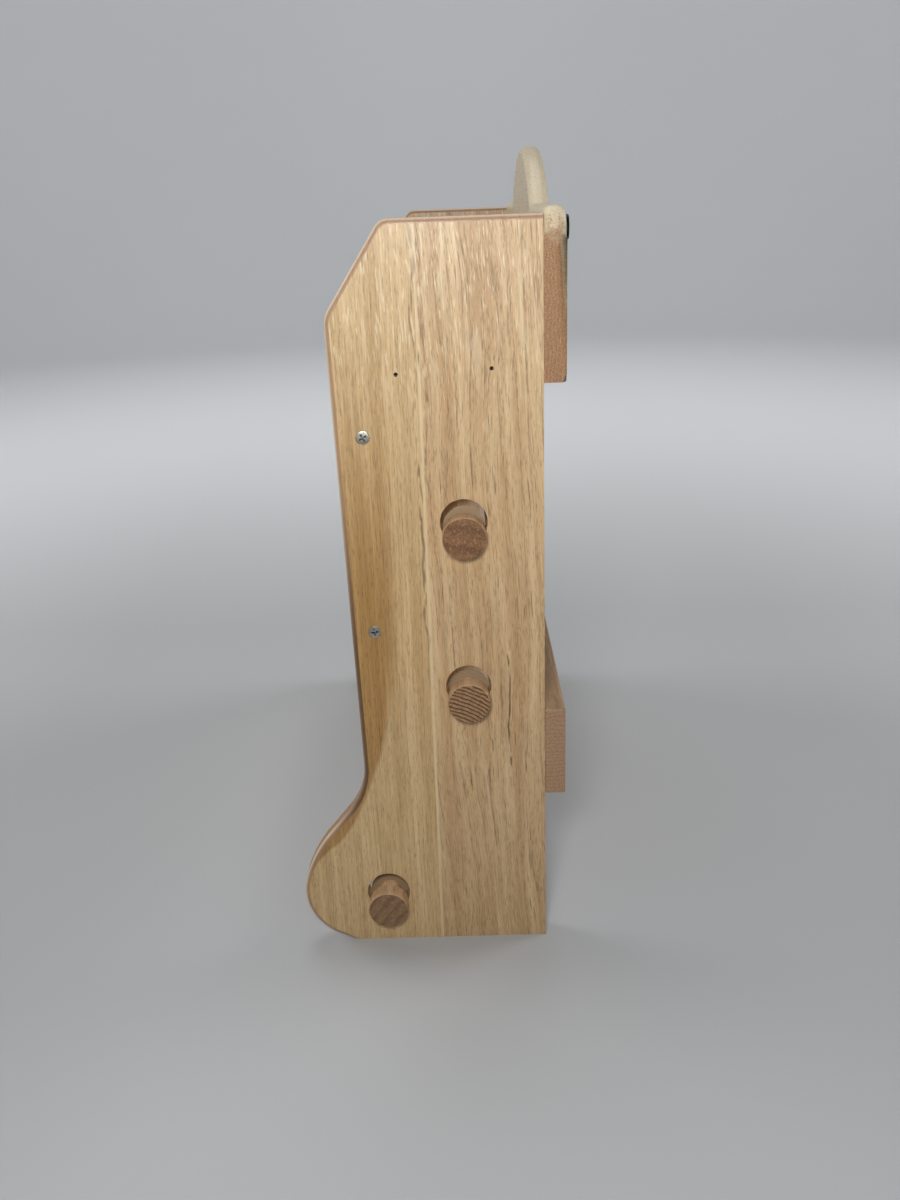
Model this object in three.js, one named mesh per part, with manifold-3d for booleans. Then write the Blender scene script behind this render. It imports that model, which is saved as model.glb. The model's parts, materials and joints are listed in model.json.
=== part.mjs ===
// Wooden triple roll dispenser with a spice shelf, drawn in millimetres, +Z up.
// It hangs on a wall: +Y is the wall side, -Y the front, and +X is on the right of someone who
// stands in front of it. The origin is the middle of the bounding box, at its foot.
//
// Two shaped side panels carry a spice shelf with a low lip, an arched back board and a lower rail.
// Three turned rods lie in holes through the panels and turn there: foil above, film in the middle,
// kitchen roll at the foot. Two tear flaps hang in front of the foil and film rolls on pivot screws,
// each with a saw-tooth cutter on the inside of its lower edge.

import * as THREE from 'three';
import Module from 'manifold-3d';
import { mergeVertices } from 'three/addons/utils/BufferGeometryUtils.js';

// ---------------------------------------------------------------- driving dimensions

const WIDTH = 332;                // over both side panels
const PANEL_HEIGHT = 357;
const BOARD = 10;                 // thickness of every board
const INNER_WIDTH = WIDTH - 2 * BOARD;
const GAP = 0.3;                  // between a turned piece and what it lies in

// The side panel's outline: "forward" is measured from its straight back edge.
const FOOT = { forward: 95, up: 29.25, radius: 29.25 };   // the round toe
const TOE_TURN = 15;              // degrees above level where the toe runs into the instep
const INSTEP_RADIUS = 71;
const INSTEP_TURN = 40;           // degrees where the instep runs straight
const INSTEP_STRAIGHT = 16;
const ANKLE_RADIUS = 40;          // the hollow below the front edge
const FRONT_LEAN = 1.2;           // degrees that the front edge leans forward as it rises
const CHAMFER_FOOT_UP = 318;      // the slanted top corner
const CHAMFER_TOP_FORWARD = 68;
const CORNER_CUT = 4;             // how far the two slant corners are softened

const HANGER_THICK = 1.25;
const TOE_REACH = FOOT.forward + FOOT.radius;
const BACK_EDGE = (TOE_REACH - BOARD - HANGER_THICK) / 2;   // Y of the panels' back edges

const HOLE_RADIUS = 10.75;
const ROD_RADIUS = 10;
const NECK_RADIUS = 5.1;
const ROD_LENGTH = 350;
const NECK_SPARE = 0.5;           // the neck is this much longer than the panel at each face
const ROD_HOLES = {
  foil: { forward: 36.5, up: 226 },
  film: { forward: 36.5, up: 144.25 },
  kitchen_roll: { forward: 81, up: 29 },
};

const PIVOTS = {
  upper: { forward: 80, up: 266 },
  lower: { forward: 80, up: 173.5 },
};
const FLAP_DROP = 75;             // from the pivot to the flap's lower edge
const FLAP_LENGTH = INNER_WIDTH - 1.5;
const FLAP_EDGE_SOFT = 2;
const CUTTER_LENGTH = 300;
const CUTTER_THICK = 0.75;
const CUTTER_TOP = -65;           // from the pivot
const CUTTER_ROOT = -76.5;
const TOOTH_PITCH = 5;
const TOOTH_DEPTH = 3;
const CUTTER_TACKS = [-130, 0, 130];
const CUTTER_TACK_DROP = -70.5;

const SHELF_TOP = 299;
const SHELF_DEPTH = 83;
const LIP_THICK = 8;
const LIP_HEIGHT = 26;

const BACK_BOARD_FOOT = 287.5;
const SHOULDER_UP = 360;
const SHOULDER_ROUND = 9;
const ARCH_TOP = 389;
const ARCH_HALF_CHORD = 79;
const ARCH_BLEND = 8;             // radius of the small hollow at each foot of the arch

const RAIL_FOOT = 84.5;
const RAIL_HEIGHT = 46;

const HANGER = { length: 34, height: 10, inset: 4.5, up: 351, screwSpacing: 26 };
const KEYHOLE = { head: 3, slot: 1.6, rise: 3.2, drop: -1 };
const POCKET = { radius: 4, depth: 2.7 };        // room behind the plate for a wall screw's head

// Fasteners: lengths along the axis, head first.
const WOOD_SCREW = { head: 3, cone: 1.6, shank: 1.5, length: 30, tip: 3, sunk: 0.15, cross: 3.6, slot: 0.8 };
const SMALL_SCREW = { head: 2, cone: 1, shank: 1, length: 8, tip: 1.5, sunk: 0.05, cross: 2.4, slot: 0.55 };
const BRAD = { head: 0.75, cone: 0.4, shank: 0.6, length: 25, tip: 1.5, sunk: 1.2 };
const TACK = { head: 1.8, rise: 0.6, shank: 0.6, length: 7, tip: 1 };
const CLEARANCE = 0.2;            // around a fastener in its bore

const SHELF_BRADS = [{ forward: 64, up: 293.25 }, { forward: 22.5, up: 294.5 }];
const LIP_BRADS = [-120, 0, 120];
const BACK_BOARD_SCREWS = [304, 338];
const RAIL_SCREWS = [96, 119];

const ROUND_SEGMENTS = 36;
const FASTENER_SEGMENTS = 12;
const CURVE_SEGMENTS = 8;         // an arc gets twice as many

// ---------------------------------------------------------------- finishes

const finish = (color, roughness, metalness) =>
  new THREE.MeshStandardMaterial({ color, roughness, metalness, flatShading: true });

const hardwood = finish('#c79f6d', 0.5, 0);
const turnedWood = finish('#b98d63', 0.5, 0);
const zincSteel = finish('#a9aaa6', 0.35, 0.9);
const cutterSteel = finish('#c4c6c8', 0.25, 0.95);
const blackSteel = finish('#1c1b1a', 0.5, 0.6);

// ---------------------------------------------------------------- solids

const wasm = await Module();
wasm.setup();

const radians = THREE.MathUtils.degToRad;
const AWAY = { right: [1, 0, 0], left: [-1, 0, 0], back: [0, 1, 0], front: [0, -1, 0] };
const SIDES = [['right', 1], ['left', -1]];

function toSolid(geometry) {
  const bare = geometry.clone();
  bare.deleteAttribute('normal');
  bare.deleteAttribute('uv');
  const merged = mergeVertices(bare, 1e-4);
  return new wasm.Manifold(new wasm.Mesh({
    numProp: 3,
    vertProperties: new Float32Array(merged.attributes.position.array),
    triVerts: new Uint32Array(merged.index.array),
  }));
}

function toGeometry(solid) {
  const { vertProperties, triVerts } = solid.getMesh();
  const geometry = new THREE.BufferGeometry();
  geometry.setAttribute('position', new THREE.BufferAttribute(new Float32Array(vertProperties), 3));
  geometry.setIndex(new THREE.BufferAttribute(new Uint32Array(triVerts), 1));
  return geometry;
}

function cutAway(geometry, tools) {
  return toGeometry(tools.reduce((rest, tool) => rest.subtract(toSolid(tool)), toSolid(geometry)));
}

function extruded(shape, depth) {
  return new THREE.ExtrudeGeometry(shape, { depth, bevelEnabled: false, curveSegments: CURVE_SEGMENTS });
}

// A shape drawn as (forward, up), made solid from x = 0 to x = -depth. Forward is -Y.
function sideways(shape, depth) {
  const onItsSide = new THREE.Matrix4().makeBasis(
    new THREE.Vector3(0, -1, 0), new THREE.Vector3(0, 0, 1), new THREE.Vector3(-1, 0, 0));
  return extruded(shape, depth).applyMatrix4(onItsSide);
}

// A shape drawn as (right, up), made solid from y = 0 to y = -depth.
function forwards(shape, depth) {
  return extruded(shape, depth).rotateX(Math.PI / 2);
}

function circle(x, y, radius) {
  const path = new THREE.Path();
  path.absarc(x, y, radius, 0, Math.PI, false);
  path.absarc(x, y, radius, Math.PI, 2 * Math.PI, false);
  return path;
}

function block(width, depth, height) {
  return new THREE.BoxGeometry(width, depth, height);
}

// A profile of [radius, height] points turned round +Z.
function turned(profile, segments) {
  const points = profile.map(([radius, height]) => new THREE.Vector2(radius, height));
  return new THREE.LatheGeometry(points, segments).rotateX(Math.PI / 2);
}

// Softens the corner at `corner` of an outline that came from `before` and goes on to `after`.
function softCorner(shape, before, corner, after, cut) {
  const start = corner.clone().add(before.clone().sub(corner).setLength(cut));
  const end = corner.clone().add(after.clone().sub(corner).setLength(cut));
  shape.lineTo(start.x, start.y);
  shape.quadraticCurveTo(corner.x, corner.y, end.x, end.y);
}

// ---------------------------------------------------------------- fasteners
// Each is drawn with its head's top at z = 0 and its shank down -Z, and placed by `aim`.

function sunkProfile(size, spare, top) {
  const { head, cone, shank, length, tip } = size;
  return [
    [0, -length - spare],
    [shank + spare, -length + tip],
    [shank + spare, -cone],
    [head + spare, -0.1],
    [head + spare, top],
    [0, top],
  ];
}

function crossSlot(size) {
  const depth = 2 * size.cone;
  return [block(size.cross, size.slot, depth), block(size.slot, size.cross, depth)];
}

const sunkFastener = (size) => {
  const body = turned(sunkProfile(size, 0, 0), FASTENER_SEGMENTS);
  return size.cross ? cutAway(body, crossSlot(size)) : body;
};

const sunkBore = (size) => turned(sunkProfile(size, CLEARANCE, size.sunk + 1), FASTENER_SEGMENTS);

function tackProfile(spare) {
  return [
    [0, -TACK.length - spare],
    [TACK.shank + spare, -TACK.length + TACK.tip],
    [TACK.shank + spare, 0],
  ];
}

const tackGeometry = turned(
  [...tackProfile(0), [TACK.head, 0], [TACK.head * 0.7, TACK.rise * 0.8], [0, TACK.rise]], FASTENER_SEGMENTS);
const tackBore = turned([...tackProfile(CLEARANCE), [TACK.shank + CLEARANCE, 1], [0, 1]], FASTENER_SEGMENTS);

const screwGeometry = sunkFastener(WOOD_SCREW);
const smallScrewGeometry = sunkFastener(SMALL_SCREW);
const bradGeometry = sunkFastener(BRAD);

function aim(object, position, outward) {
  object.position.set(...position);
  object.quaternion.setFromUnitVectors(new THREE.Vector3(0, 0, 1), new THREE.Vector3(...outward));
  object.updateMatrix();
  return object;
}

// The cutting tool for a fastener that `aim` would put at the same place.
function boreAt(bore, position, outward) {
  return bore.clone().applyMatrix4(aim(new THREE.Object3D(), position, outward).matrix);
}

function sunkIn(size, position, outward) {
  return position.map((value, axis) => value - size.sunk * outward[axis]);
}

// ---------------------------------------------------------------- assembly helpers

const dispenser = new THREE.Group();
dispenser.name = 'roll_dispenser';

function piece(name, geometry, material, position = [0, 0, 0], parent = dispenser) {
  const mesh = new THREE.Mesh(geometry, material);
  mesh.name = name;
  mesh.position.set(...position);
  parent.add(mesh);
  return mesh;
}

function fastener(name, geometry, position, outward, material = zincSteel, parent = dispenser) {
  aim(piece(name, geometry, material, [0, 0, 0], parent), position, outward);
}

// ---------------------------------------------------------------- side panels

function panelOutline() {
  const point = (forward, up) => new THREE.Vector2(forward, up);
  const along = (angle) => point(Math.cos(angle), Math.sin(angle));
  const toeTurn = radians(TOE_TURN);
  const instepTurn = radians(INSTEP_TURN);
  const lean = radians(FRONT_LEAN);

  const toe = point(FOOT.forward, FOOT.up);
  const instep = toe.clone().sub(along(toeTurn).multiplyScalar(INSTEP_RADIUS - FOOT.radius));
  const instepEnd = instep.clone().add(along(instepTurn).multiplyScalar(INSTEP_RADIUS));
  const ankleStart = instepEnd.clone().add(along(instepTurn + Math.PI / 2).multiplyScalar(INSTEP_STRAIGHT));
  const ankle = ankleStart.clone().add(along(instepTurn).multiplyScalar(ANKLE_RADIUS));
  const ankleEnd = ankle.clone().sub(along(-lean).multiplyScalar(ANKLE_RADIUS));
  const slantFoot = point(ankleEnd.x + (CHAMFER_FOOT_UP - ankleEnd.y) * Math.tan(lean), CHAMFER_FOOT_UP);
  const slantTop = point(CHAMFER_TOP_FORWARD, PANEL_HEIGHT);
  const topBack = point(0, PANEL_HEIGHT);

  const shape = new THREE.Shape();
  shape.moveTo(0, 0);
  shape.lineTo(FOOT.forward, 0);
  shape.absarc(toe.x, toe.y, FOOT.radius, -Math.PI / 2, toeTurn, false);
  shape.absarc(instep.x, instep.y, INSTEP_RADIUS, toeTurn, instepTurn, false);
  shape.lineTo(ankleStart.x, ankleStart.y);
  shape.absarc(ankle.x, ankle.y, ANKLE_RADIUS, instepTurn - Math.PI, -lean - Math.PI, true);
  softCorner(shape, ankleEnd, slantFoot, slantTop, CORNER_CUT);
  softCorner(shape, slantFoot, slantTop, topBack, CORNER_CUT);
  shape.lineTo(topBack.x, topBack.y);
  for (const hole of Object.values(ROD_HOLES)) {
    shape.holes.push(circle(hole.forward, hole.up, HOLE_RADIUS));
  }
  return shape;
}

// Bores in a side panel, in its own frame: x = 0 at its outer face, y = 0 at its back edge.
function panelBores(outward) {
  const screwBore = sunkBore(WOOD_SCREW);
  const fromSide = (bore, size, spot) =>
    boreAt(bore, sunkIn(size, [0, -spot.forward, spot.up], outward), outward);
  const pivots = Object.values(PIVOTS).map((spot) => fromSide(screwBore, WOOD_SCREW, spot));
  const brads = SHELF_BRADS.map((spot) => fromSide(sunkBore(BRAD), BRAD, spot));
  const middle = -outward[0] * BOARD / 2;
  const fromBack = [...BACK_BOARD_SCREWS, ...RAIL_SCREWS].map((up) =>
    boreAt(screwBore, sunkIn(WOOD_SCREW, [middle, BOARD, up], AWAY.back), AWAY.back));
  return [...pivots, ...brads, ...fromBack];
}

for (const [side, sign] of SIDES) {
  const blank = sideways(panelOutline(), BOARD);
  if (sign < 0) blank.translate(BOARD, 0, 0);
  piece(`side_panel_${side}`, cutAway(blank, panelBores(AWAY[side])), hardwood,
    [sign * WIDTH / 2, BACK_EDGE, 0]);
}

// ---------------------------------------------------------------- back board, rail, shelf and lip

function backBoardOutline() {
  const half = WIDTH / 2;
  const rise = ARCH_TOP - SHOULDER_UP;
  const radius = (ARCH_HALF_CHORD ** 2 + rise ** 2) / (2 * rise);
  const centreUp = ARCH_TOP - radius;
  const blendUp = SHOULDER_UP + ARCH_BLEND;
  const blendRight = Math.sqrt((radius + ARCH_BLEND) ** 2 - (blendUp - centreUp) ** 2);
  const blendAngle = Math.atan2(blendUp - centreUp, blendRight);
  const endRight = half - SHOULDER_ROUND;
  const endUp = SHOULDER_UP - SHOULDER_ROUND;

  const shape = new THREE.Shape();
  shape.moveTo(-half, BACK_BOARD_FOOT);
  shape.lineTo(half, BACK_BOARD_FOOT);
  shape.absarc(endRight, endUp, SHOULDER_ROUND, 0, Math.PI / 2, false);
  shape.absarc(blendRight, blendUp, ARCH_BLEND, -Math.PI / 2, blendAngle - Math.PI, true);
  shape.absarc(0, centreUp, radius, blendAngle, Math.PI - blendAngle, false);
  shape.absarc(-blendRight, blendUp, ARCH_BLEND, -blendAngle, -Math.PI / 2, true);
  shape.absarc(-endRight, endUp, SHOULDER_ROUND, Math.PI / 2, Math.PI, false);
  return shape;
}

// Pieces behind the panels are drawn with y = 0 at their back face.
const BEHIND = BACK_EDGE + BOARD;
const endScrews = (ups) => SIDES.flatMap(([, sign]) =>
  ups.map((up) => sunkIn(WOOD_SCREW, [sign * (WIDTH - BOARD) / 2, 0, up], AWAY.back)));
const endScrewBores = (ups) => endScrews(ups).map((spot) => boreAt(sunkBore(WOOD_SCREW), spot, AWAY.back));

const hangerMiddle = (sign) => sign * (WIDTH / 2 - HANGER.inset - HANGER.length / 2);
const hangerScrews = (sign) => [-1, 1].map((end) =>
  [hangerMiddle(sign) + end * HANGER.screwSpacing / 2, HANGER_THICK, HANGER.up]);
const hangerBores = SIDES.flatMap(([, sign]) => hangerScrews(sign).map((spot) =>
  boreAt(sunkBore(SMALL_SCREW), sunkIn(SMALL_SCREW, spot, AWAY.back), AWAY.back)));
const pocket = turned(
  [[0, -POCKET.depth], [POCKET.radius, -POCKET.depth], [POCKET.radius, 1], [0, 1]], ROUND_SEGMENTS / 2);
const hangerPockets = SIDES.map(([, sign]) => boreAt(pocket, [hangerMiddle(sign), 0, HANGER.up], AWAY.back));

const backBoardBores = [...endScrewBores(BACK_BOARD_SCREWS), ...hangerBores, ...hangerPockets];
piece('back_board_upper', cutAway(forwards(backBoardOutline(), BOARD), backBoardBores), hardwood,
  [0, BEHIND, 0]);

const railUp = RAIL_FOOT + RAIL_HEIGHT / 2;
piece('back_rail_lower',
  cutAway(block(WIDTH, BOARD, RAIL_HEIGHT).translate(0, -BOARD / 2, railUp), endScrewBores(RAIL_SCREWS)),
  hardwood, [0, BEHIND, 0]);

// The shelf's frame has y = 0 at the panels' back edges and z = 0 at its underside.
const shelfUnder = SHELF_TOP - BOARD;
const shelfBrads = (inward) => SIDES.flatMap(([side, sign]) => SHELF_BRADS.map((spot, index) => ({
  name: `shelf_brad_${side}_${index + 1}`,
  position: sunkIn(BRAD, [sign * WIDTH / 2, inward - spot.forward, spot.up], AWAY[side]),
  outward: AWAY[side],
})));
const lipBrads = (front, under) => LIP_BRADS.map((right, index) => ({
  name: `lip_brad_${index + 1}`,
  position: sunkIn(BRAD, [right, front, under + BOARD / 2], AWAY.front),
  outward: AWAY.front,
}));

const shelfBores = [
  ...shelfBrads(0).map(({ position, outward }) =>
    boreAt(sunkBore(BRAD), [position[0], position[1], position[2] - shelfUnder], outward)),
  ...lipBrads(-SHELF_DEPTH - LIP_THICK, 0).map(({ position, outward }) =>
    boreAt(sunkBore(BRAD), position, outward)),
];
piece('spice_shelf',
  cutAway(block(INNER_WIDTH, SHELF_DEPTH, BOARD).translate(0, -SHELF_DEPTH / 2, BOARD / 2), shelfBores),
  hardwood, [0, BACK_EDGE, shelfUnder]);

const lipBores = lipBrads(-LIP_THICK, 0).map(({ position, outward }) =>
  boreAt(sunkBore(BRAD), position, outward));
piece('shelf_lip',
  cutAway(block(INNER_WIDTH, LIP_THICK, LIP_HEIGHT).translate(0, -LIP_THICK / 2, LIP_HEIGHT / 2), lipBores),
  hardwood, [0, BACK_EDGE - SHELF_DEPTH, shelfUnder]);

const lipFront = BACK_EDGE - SHELF_DEPTH - LIP_THICK;
for (const { name, position, outward } of [...shelfBrads(BACK_EDGE), ...lipBrads(lipFront, shelfUnder)]) {
  fastener(name, bradGeometry, position, outward);
}

for (const [board, ups] of [['back_board', BACK_BOARD_SCREWS], ['rail', RAIL_SCREWS]]) {
  endScrews(ups).forEach(([right, back, up], index) => {
    const name = `${board}_screw_${right > 0 ? 'right' : 'left'}_${index % ups.length + 1}`;
    fastener(name, screwGeometry, [right, BEHIND + back, up], AWAY.back);
  });
}

// ---------------------------------------------------------------- hanger plates

function hangerPlate() {
  const end = HANGER.length / 2 - HANGER.height / 2;
  const round = HANGER.height / 2;
  const shape = new THREE.Shape();
  shape.absarc(end, 0, round, -Math.PI / 2, Math.PI / 2, false);
  shape.absarc(-end, 0, round, Math.PI / 2, 1.5 * Math.PI, false);

  const meet = Math.acos(KEYHOLE.slot / KEYHOLE.head);
  const slotRise = KEYHOLE.rise - KEYHOLE.slot;
  const keyhole = new THREE.Path();
  keyhole.absarc(0, KEYHOLE.drop, KEYHOLE.head, Math.PI - meet, 2 * Math.PI + meet, false);
  keyhole.absarc(0, slotRise, KEYHOLE.slot, 0, Math.PI, false);
  keyhole.closePath();
  shape.holes.push(keyhole);

  const bores = [-1, 1].map((side) => boreAt(sunkBore(SMALL_SCREW),
    sunkIn(SMALL_SCREW, [side * HANGER.screwSpacing / 2, 0, 0], AWAY.back), AWAY.back));
  return cutAway(forwards(shape, HANGER_THICK), bores);
}

for (const [side, sign] of SIDES) {
  piece(`hanger_plate_${side}`, hangerPlate(), blackSteel,
    [hangerMiddle(sign), BEHIND + HANGER_THICK, HANGER.up]);
  hangerScrews(sign).forEach(([right, back, up], index) => {
    const position = sunkIn(SMALL_SCREW, [right, BEHIND + back, up], AWAY.back);
    fastener(`hanger_screw_${side}_${index + 1}`, smallScrewGeometry, position, AWAY.back, blackSteel);
  });
}

// ---------------------------------------------------------------- rods

// A rod is turned from one length: a knob, a neck the width of the panel, and the body between them.
function rodGeometry() {
  const soft = 0.8;
  const end = ROD_LENGTH / 2;
  const neckOuter = WIDTH / 2 + NECK_SPARE;
  const neckInner = INNER_WIDTH / 2 - NECK_SPARE;
  const half = [
    [ROD_RADIUS, neckInner],
    [NECK_RADIUS, neckInner],
    [NECK_RADIUS, neckOuter],
    [ROD_RADIUS, neckOuter],
    [ROD_RADIUS, end - soft],
    [ROD_RADIUS - soft, end],
    [0, end],
  ];
  const other = half.map(([radius, reach]) => [radius, -reach]).reverse();
  return turned([...other, ...half], ROUND_SEGMENTS).rotateY(Math.PI / 2);
}

// The neck lies in the bottom of its hole.
const ROD_SINK = HOLE_RADIUS - NECK_RADIUS - GAP;
for (const [roll, hole] of Object.entries(ROD_HOLES)) {
  piece(`rod_${roll}`, rodGeometry(), turnedWood, [0, BACK_EDGE - hole.forward, hole.up - ROD_SINK]);
}

// ---------------------------------------------------------------- tear flaps
// A flap's frame has its origin on its pivot axis, halfway along.

const tackSpots = CUTTER_TACKS.map((right) => [right, BOARD / 2 + CUTTER_THICK, CUTTER_TACK_DROP]);
const tackBores = tackSpots.map((spot) => boreAt(tackBore, spot, AWAY.back));

function flapBoard() {
  const round = BOARD / 2;
  const shape = new THREE.Shape();
  shape.moveTo(-round, -FLAP_DROP);
  shape.lineTo(round - FLAP_EDGE_SOFT, -FLAP_DROP);
  shape.quadraticCurveTo(round, -FLAP_DROP, round, -FLAP_DROP + FLAP_EDGE_SOFT);
  shape.absarc(0, 0, round, 0, Math.PI, false);
  const blank = sideways(shape, FLAP_LENGTH).translate(FLAP_LENGTH / 2, 0, 0);
  const pivotBores = SIDES.map(([side, sign]) =>
    boreAt(sunkBore(WOOD_SCREW), sunkIn(WOOD_SCREW, [sign * WIDTH / 2, 0, 0], AWAY[side]), AWAY[side]));
  return cutAway(blank, [...pivotBores, ...tackBores]);
}

// The strip's teeth hang below the flap's lower edge.
function cutterStrip() {
  const half = CUTTER_LENGTH / 2;
  const shape = new THREE.Shape();
  shape.moveTo(half, CUTTER_ROOT);
  shape.lineTo(half, CUTTER_TOP);
  shape.lineTo(-half, CUTTER_TOP);
  shape.lineTo(-half, CUTTER_ROOT);
  for (let right = -half; right < half; right += TOOTH_PITCH) {
    shape.lineTo(right + TOOTH_PITCH / 2, CUTTER_ROOT - TOOTH_DEPTH);
    if (right + TOOTH_PITCH < half) shape.lineTo(right + TOOTH_PITCH, CUTTER_ROOT);
  }
  return cutAway(forwards(shape, CUTTER_THICK).translate(0, BOARD / 2 + CUTTER_THICK, 0), tackBores);
}

for (const [place, pivot] of Object.entries(PIVOTS)) {
  const flap = new THREE.Group();
  flap.position.set(0, BACK_EDGE - pivot.forward, pivot.up);
  dispenser.add(flap);
  piece(`tear_flap_${place}`, flapBoard(), hardwood, [0, 0, 0], flap);
  piece(`cutter_${place}`, cutterStrip(), cutterSteel, [0, 0, 0], flap);
  tackSpots.forEach((spot, index) =>
    fastener(`cutter_tack_${place}_${index + 1}`, tackGeometry, spot, AWAY.back, zincSteel, flap));
  for (const [side, sign] of SIDES) {
    fastener(`pivot_screw_${place}_${side}`, screwGeometry,
      sunkIn(WOOD_SCREW, [sign * WIDTH / 2, 0, 0], AWAY[side]), AWAY[side], zincSteel, flap);
  }
}

export default dispenser;
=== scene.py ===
"""A wooden triple roll dispenser with a spice shelf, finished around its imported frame.

Lengths are in metres unless a name or a call says millimetres.
"""

import json
import math

import bmesh
import bpy
from mathutils import Matrix, Vector


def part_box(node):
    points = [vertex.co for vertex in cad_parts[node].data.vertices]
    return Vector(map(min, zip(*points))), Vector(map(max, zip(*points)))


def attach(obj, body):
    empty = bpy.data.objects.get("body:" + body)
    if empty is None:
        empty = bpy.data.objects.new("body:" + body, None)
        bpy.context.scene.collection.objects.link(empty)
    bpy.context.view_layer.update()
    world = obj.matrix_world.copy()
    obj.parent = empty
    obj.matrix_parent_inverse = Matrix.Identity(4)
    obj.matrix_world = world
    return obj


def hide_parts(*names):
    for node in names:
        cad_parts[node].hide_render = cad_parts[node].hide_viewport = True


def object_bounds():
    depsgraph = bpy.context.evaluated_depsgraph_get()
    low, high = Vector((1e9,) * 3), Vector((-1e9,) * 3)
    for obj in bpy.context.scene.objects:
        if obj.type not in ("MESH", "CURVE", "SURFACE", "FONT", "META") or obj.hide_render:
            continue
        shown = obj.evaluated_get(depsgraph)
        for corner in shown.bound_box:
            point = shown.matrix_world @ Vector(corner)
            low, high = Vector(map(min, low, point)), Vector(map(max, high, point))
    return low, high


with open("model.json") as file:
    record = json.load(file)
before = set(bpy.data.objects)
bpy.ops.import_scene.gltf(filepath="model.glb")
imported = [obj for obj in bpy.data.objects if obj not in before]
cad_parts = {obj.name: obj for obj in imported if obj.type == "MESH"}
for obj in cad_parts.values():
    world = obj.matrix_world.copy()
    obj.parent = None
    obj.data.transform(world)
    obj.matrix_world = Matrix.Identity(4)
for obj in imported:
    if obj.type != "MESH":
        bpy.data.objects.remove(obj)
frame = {"nodes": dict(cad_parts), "record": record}

frame_low, frame_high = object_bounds()
MM = 0.001


# ---------------------------------------------------------------- camera, floor and light
# The rack stands side-on to a camera held at about its own height and tipped down. A soft light close
# to the lens falls off from the top of the rack to its foot, and large pale softboxes fill the rest.

panel_low, panel_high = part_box("side_panel_right")
CAMERA_FROM_PANEL = 0.4727
CAMERA_BEFORE_BACK_EDGE = 0.0370
CAMERA_HEIGHT = 0.3640
CAMERA_TIPPED_DOWN = math.radians(20.35)
CAMERA_TURNED = math.radians(90.85)
CAMERA_ROLLED = math.radians(-2.06)

lens = bpy.data.cameras.new("lens")
lens.lens = 32.5
lens.clip_start = 0.01
camera = bpy.data.objects.new("camera", lens)
camera.location = (panel_high.x + CAMERA_FROM_PANEL, panel_high.y - CAMERA_BEFORE_BACK_EDGE, CAMERA_HEIGHT)
camera.rotation_euler = (
    Matrix.Rotation(CAMERA_TURNED, 3, "Z")
    @ Matrix.Rotation(math.pi / 2 - CAMERA_TIPPED_DOWN, 3, "X")
    @ Matrix.Rotation(CAMERA_ROLLED, 3, "Z")
).to_euler()
bpy.context.scene.collection.objects.link(camera)
bpy.context.scene.camera = camera
bpy.context.scene.view_settings.view_transform = "Standard"


def linear(hex_colour):
    """An sRGB hex colour as linear red, green, blue and alpha."""
    parts = [int(hex_colour[i:i + 2], 16) / 255 for i in (1, 3, 5)]
    return (*[c / 12.92 if c <= 0.04045 else ((c + 0.055) / 1.055) ** 2.4 for c in parts], 1.0)


def add_node(tree, kind, sockets=None, **settings):
    """Adds a shader node, with its settings, and fills its sockets with values or links."""
    node = tree.nodes.new("ShaderNode" + kind)
    for name, value in settings.items():
        setattr(node, name, value)
    for socket, value in (sockets or {}).items():
        if isinstance(value, bpy.types.NodeSocket):
            tree.links.new(value, node.inputs[socket])
        else:
            node.inputs[socket].default_value = value
    return node


def new_material(name, **look):
    """An empty material with one Principled shader; look holds values for its sockets."""
    material = bpy.data.materials.new(name)
    material.use_nodes = True
    tree = material.node_tree
    shader = tree.nodes["Principled BSDF"]
    for socket, value in look.items():
        shader.inputs[socket.replace("_", " ")].default_value = value
    return material, tree, shader


# The floor is a round sheet that sweeps up into a low wall all the way round, so no horizon shows.
FLOOR_RADIUS, SWEEP_RADIUS, WALL_TOP = 2.4, 1.0, 1.7
floor_shape = bmesh.new()
sweep = [(FLOOR_RADIUS + SWEEP_RADIUS * math.sin(math.radians(angle)),
          SWEEP_RADIUS * (1 - math.cos(math.radians(angle)))) for angle in range(0, 91, 10)]
rim = [floor_shape.verts.new((reach, 0, height))
       for reach, height in [(0, 0), *sweep, (sweep[-1][0], WALL_TOP)]]
strip = [floor_shape.edges.new(pair) for pair in zip(rim, rim[1:])]
bmesh.ops.spin(floor_shape, geom=rim + strip, cent=(0, 0, 0), axis=(0, 0, 1), angle=2 * math.pi, steps=72,
               use_merge=True)
bmesh.ops.remove_doubles(floor_shape, verts=floor_shape.verts, dist=0.1 * MM)
bmesh.ops.recalc_face_normals(floor_shape, faces=floor_shape.faces)
for face in floor_shape.faces:
    face.smooth = True
floor_mesh = bpy.data.meshes.new("floor")
floor_shape.to_mesh(floor_mesh)
floor = bpy.data.objects.new("floor", floor_mesh)
floor_finish, _, _ = new_material("matt pale floor", Base_Color=linear("#bfc1c3"), Roughness=0.8)
floor_mesh.materials.append(floor_finish)
bpy.context.scene.collection.objects.link(floor)

world = bpy.data.worlds.new("pale studio")
world.use_nodes = True
sky = world.node_tree.nodes["Background"]
sky.inputs["Color"].default_value = linear("#e6e9ec")
sky.inputs["Strength"].default_value = 0.11
bpy.context.scene.world = world


def softbox(name, place, aim, width, watts):
    """A round soft lamp at place, turned towards aim."""
    lamp = bpy.data.lights.new(name, "AREA")
    lamp.shape = "DISK"
    lamp.size = width
    lamp.energy = watts
    holder = bpy.data.objects.new(name, lamp)
    holder.location = place
    holder.rotation_euler = (Vector(aim) - Vector(place)).to_track_quat("-Z", "Y").to_euler()
    bpy.context.scene.collection.objects.link(holder)


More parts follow.
